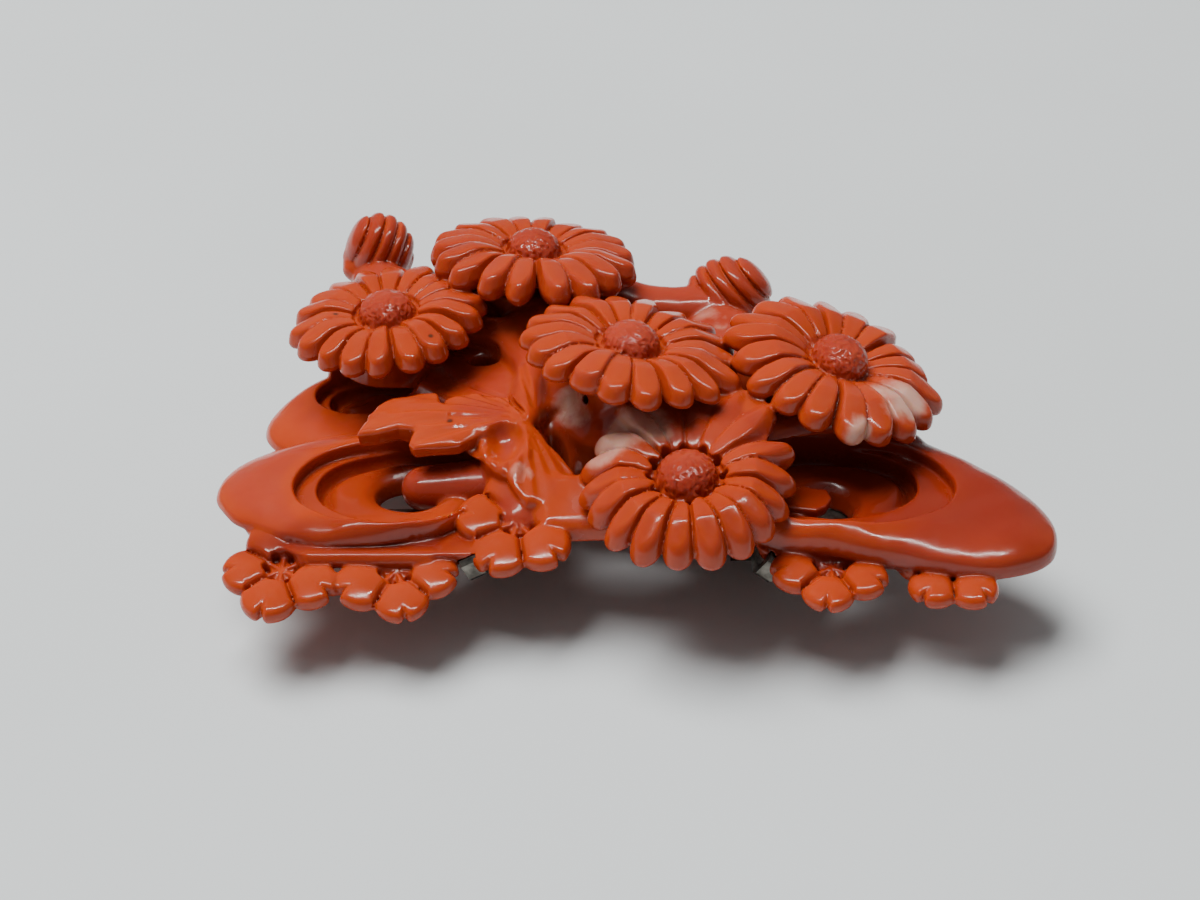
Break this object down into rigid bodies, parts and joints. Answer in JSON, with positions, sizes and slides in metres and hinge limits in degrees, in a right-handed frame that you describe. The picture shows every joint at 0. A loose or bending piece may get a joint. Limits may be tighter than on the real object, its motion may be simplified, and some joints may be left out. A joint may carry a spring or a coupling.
{
  "type": "obidome sash-cord ornament",
  "caption": "Pierced coral carving of chrysanthemums, blossoms, a leaf, buds and ribbon loops on a silver mount with two hoops for a flat sash cord.",
  "frame": {"origin": "centre of the ornament's outline, on the surface that the hoops rest on", "axes": "+X along the ornament and along the cord, +Y to the upper edge as worn, +Z out of the back towards the flowers"},
  "size_m": [0.0542, 0.0394, 0.0167],
  "materials": {
    "coral": "polished orange-red coral with whitish patches",
    "silver": "oxidised silver, filed"
  },
  "bodies": {
    "root": {"coral_carving": "coral", "silver_mount": "silver"}
  },
  "joints": []
}
